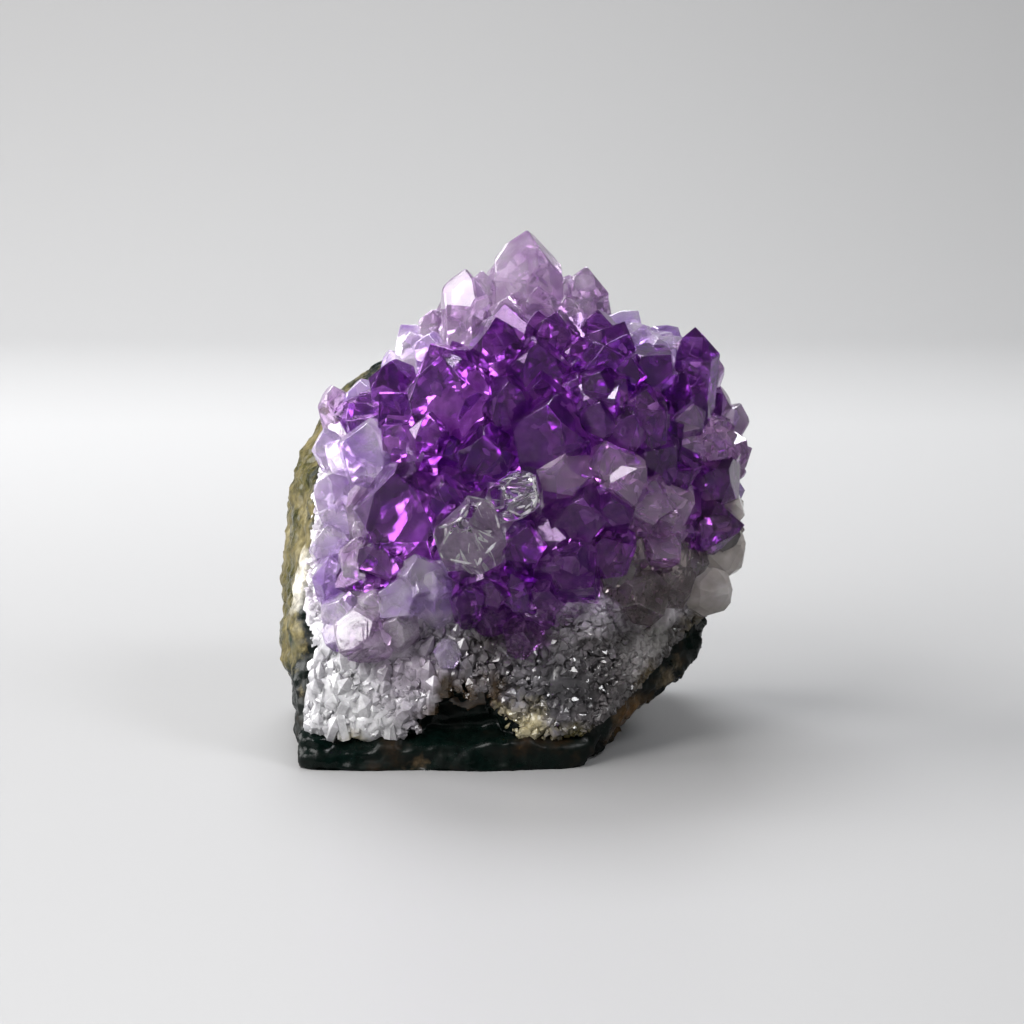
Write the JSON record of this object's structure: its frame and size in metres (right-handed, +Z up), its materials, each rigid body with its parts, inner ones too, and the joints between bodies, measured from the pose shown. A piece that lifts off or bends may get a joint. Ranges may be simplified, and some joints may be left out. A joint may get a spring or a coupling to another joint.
{
  "type": "amethyst cluster",
  "caption": "Broken piece of geode wall with a druse of amethyst points on a granular quartz crust, standing on a flat of its dark basalt rind.",
  "frame": {"origin": "middle of the bounding box in plan, on the flat the cluster stands on", "axes": "+Z up from the flat the cluster stands on, -Y out of the druse toward the viewer, +X to the viewer's right"},
  "size_m": [0.0642, 0.053, 0.0684],
  "materials": {
    "basalt_rind": "dark green-black rock with olive and brown patches, broken and part glossy",
    "crust_quartz": "grey-white granular quartz, rough with small glinting faces",
    "amethyst": "clear violet crystal with glossy natural faces",
    "lilac_amethyst": "clear pale lilac crystal with glossy natural faces",
    "clear_quartz": "colourless clear crystal with glossy natural faces"
  },
  "bodies": {
    "root": {"rind": "basalt_rind", "quartz_crust": "crust_quartz", "amethyst_druse": "amethyst", "clear_point_lower": "clear_quartz", "clear_point_upper": "clear_quartz", "violet_point": "amethyst", "silver_point": "lilac_amethyst", "lilac_point": "lilac_amethyst"}
  },
  "joints": []
}
